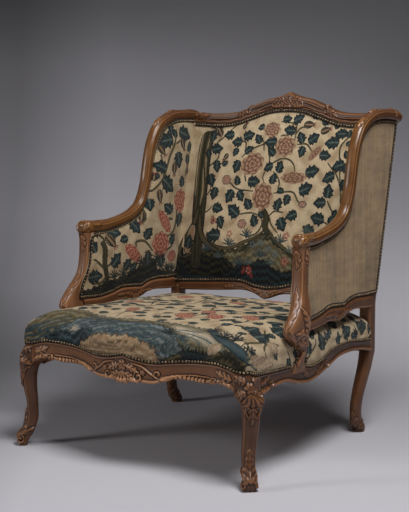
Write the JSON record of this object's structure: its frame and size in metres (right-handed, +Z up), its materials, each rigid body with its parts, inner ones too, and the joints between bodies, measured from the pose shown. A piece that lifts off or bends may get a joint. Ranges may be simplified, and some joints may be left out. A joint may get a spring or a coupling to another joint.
{
  "type": "winged armchair",
  "caption": "Low winged armchair with a carved wooden frame, cabriole legs, serpentine front rail, arched crest and nailed needlework seat, back and wings.",
  "frame": {"origin": "middle of the bounding box at floor level", "axes": "+Z up, the chair faces -Y, +X towards the right side as seen from in front"},
  "size_m": [0.8452, 0.9158, 1.04],
  "materials": {
    "carved_walnut": "waxed",
    "beech": "unpolished",
    "peg_wood": "unpolished",
    "needlework": "stitched wool",
    "linen": "ribbed weave",
    "horsehair": "loose curled hair",
    "jute": "coarse weave"
  },
  "bodies": {
    "root": {"front_seat_rail": "carved_walnut", "left_seat_rail": "carved_walnut", "right_seat_rail": "carved_walnut", "front_left_leg": "carved_walnut", "front_right_leg": "carved_walnut", "rear_left_post": "carved_walnut", "rear_right_post": "carved_walnut", "left_arm_support": "carved_walnut", "right_arm_support": "carved_walnut", "left_arm_rail": "carved_walnut", "right_arm_rail": "carved_walnut", "left_wing_front_rail": "carved_walnut", "right_wing_front_rail": "carved_walnut", "left_wing_top_rail": "carved_walnut", "right_wing_top_rail": "carved_walnut", "left_wing_lower_rail": "carved_walnut", "right_wing_lower_rail": "carved_walnut", "lower_back_rail": "carved_walnut", "crest_rail": "carved_walnut", "rear_seat_rail": "beech", "front_left_corner_block": "beech", "front_right_corner_block": "beech", "rear_left_corner_block": "beech", "rear_right_corner_block": "beech", "front_left_leg_front_peg": "peg_wood", "front_left_leg_side_peg": "peg_wood", "front_right_leg_front_peg": "peg_wood", "front_right_leg_side_peg": "peg_wood", "rear_left_post_rear_peg": "peg_wood", "rear_left_post_side_peg": "peg_wood", "rear_left_post_upper_peg": "peg_wood", "rear_right_post_rear_peg": "peg_wood", "rear_right_post_side_peg": "peg_wood", "rear_right_post_upper_peg": "peg_wood", "seat_cover": "needlework", "back_cover": "needlework", "left_wing_cover": "needlework", "right_wing_cover": "needlework", "back_outside_cover": "linen", "left_wing_outside_cover": "linen", "right_wing_outside_cover": "linen", "seat_stuffing": "horsehair", "back_stuffing": "horsehair", "left_wing_stuffing": "horsehair", "right_wing_stuffing": "horsehair", "seat_webbing": "jute", "seat_base_cloth": "jute", "back_base_cloth": "jute", "left_wing_base_cloth": "jute", "right_wing_base_cloth": "jute"}
  },
  "joints": []
}
